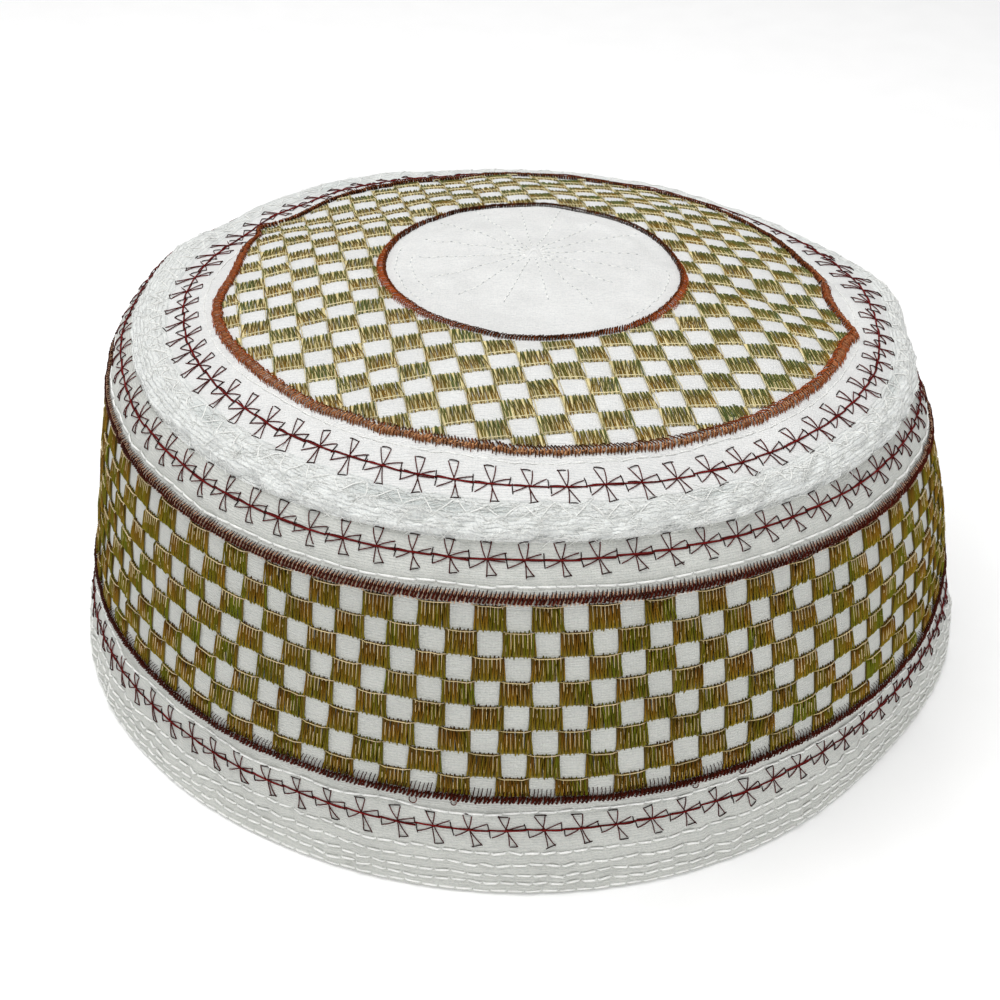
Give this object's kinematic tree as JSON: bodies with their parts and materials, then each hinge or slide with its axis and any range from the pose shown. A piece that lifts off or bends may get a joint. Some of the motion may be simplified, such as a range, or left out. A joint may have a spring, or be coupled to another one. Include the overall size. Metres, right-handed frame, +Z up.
{
  "type": "prayer cap",
  "caption": "Round quilted cotton prayer cap with a tapered side wall, a low domed crown, a raised seam and bands of checked and pinwheel embroidery.",
  "frame": {"origin": "middle of the hem's underside, on the surface the cap stands on", "axes": "+Z up through the crown, -Y towards the front of the cap as pictured, +X to the wearer's left"},
  "size_m": [0.184, 0.1848, 0.0758],
  "materials": {
    "cotton": "matte quilted cotton",
    "olive_thread": "soft thread sheen",
    "gold_thread": "soft thread sheen",
    "maroon_thread": "soft thread sheen",
    "rust_thread": "soft thread sheen"
  },
  "bodies": {
    "root": {"wall": "cotton", "crown": "cotton", "seam_welt": "cotton", "wall_checker": "olive_thread", "crown_checker": "gold_thread", "wall_lower_edging": "maroon_thread", "wall_upper_edging": "maroon_thread", "crown_outer_edging": "rust_thread", "crown_inner_edging": "rust_thread"}
  },
  "joints": []
}
